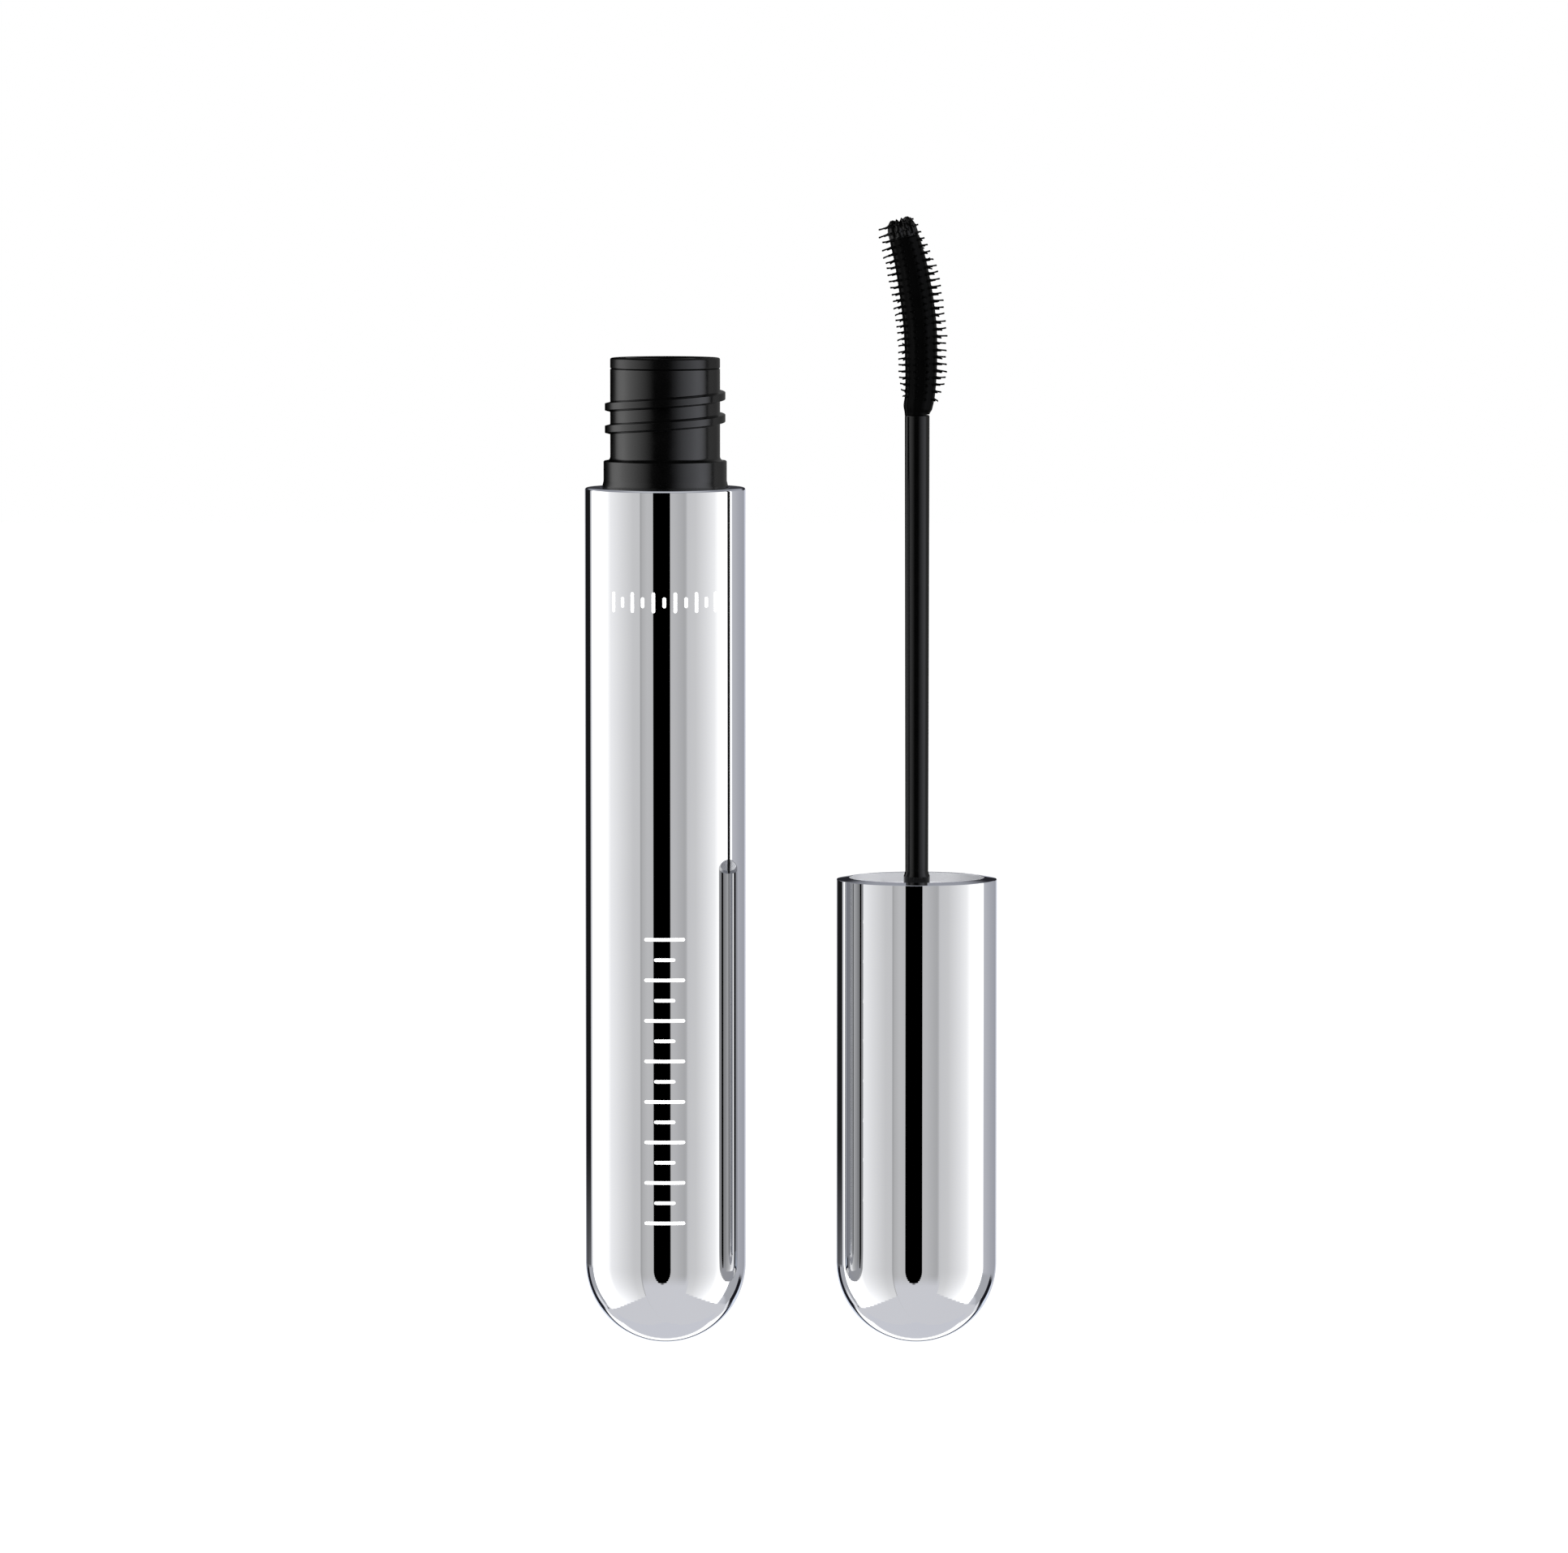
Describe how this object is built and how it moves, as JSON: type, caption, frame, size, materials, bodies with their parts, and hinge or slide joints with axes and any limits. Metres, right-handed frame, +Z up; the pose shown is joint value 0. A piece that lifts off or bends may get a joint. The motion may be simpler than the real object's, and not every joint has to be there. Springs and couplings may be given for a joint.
{
  "type": "mascara tube",
  "caption": "Open mascara tube: an upright chrome tube with a threaded neck, and its chrome cap upside down beside it with the wand and curved brush.",
  "frame": {"origin": "on the tube's axis, at the lowest point of its rounded base", "axes": "+Z up along the tube to its neck, +X from the tube towards the cap and wand"},
  "size_m": [0.0462, 0.018, 0.127],
  "materials": {
    "chrome": "mirror-bright metallised plastic",
    "neck_black": "satin moulded plastic",
    "wiper_black": "soft satin plastic",
    "stem_black": "satin moulded plastic",
    "brush_black": "soft moulded plastic",
    "liner_black": "satin moulded plastic",
    "seal_white": "soft matt",
    "steel": "turned",
    "mascara": "wet black paste"
  },
  "bodies": {
    "tube": {"tube_shell": "chrome", "bottle": "neck_black", "wiper": "wiper_black", "mascara_fill": "mascara"},
    "ball": {"mixing_ball": "steel"},
    "weight": {"cap_weight": "steel"},
    "seal": {"cap_seal": "seal_white"},
    "applicator": {"cap_shell": "chrome", "cap_liner": "liner_black", "stem": "stem_black", "brush": "brush_black"}
  },
  "joints": [
    {"name": "draw", "type": "slide", "parent": "tube", "child": "ball", "axis": [0, 0, -1], "range_m": [0, 0.088]},
    {"name": "turn_over", "type": "hinge", "parent": "ball", "child": "weight", "pos_m": [0.0141, 0, 0.12022], "axis": [0, -1, 0], "range_deg": [0, 180]},
    {"name": "cap_rise", "type": "slide", "parent": "weight", "child": "seal", "axis": [0, 0, 1], "range_m": [0, 0.00376]},
    {"name": "cap_turn", "type": "hinge", "parent": "seal", "child": "applicator", "pos_m": [0.0282, 0, 0], "axis": [0, 0, 1], "range_deg": [0, 540]}
  ],
  "couplings": [
    {"joint": "cap_rise", "follows": "cap_turn", "m_per_rad": 0.00039789}
  ]
}
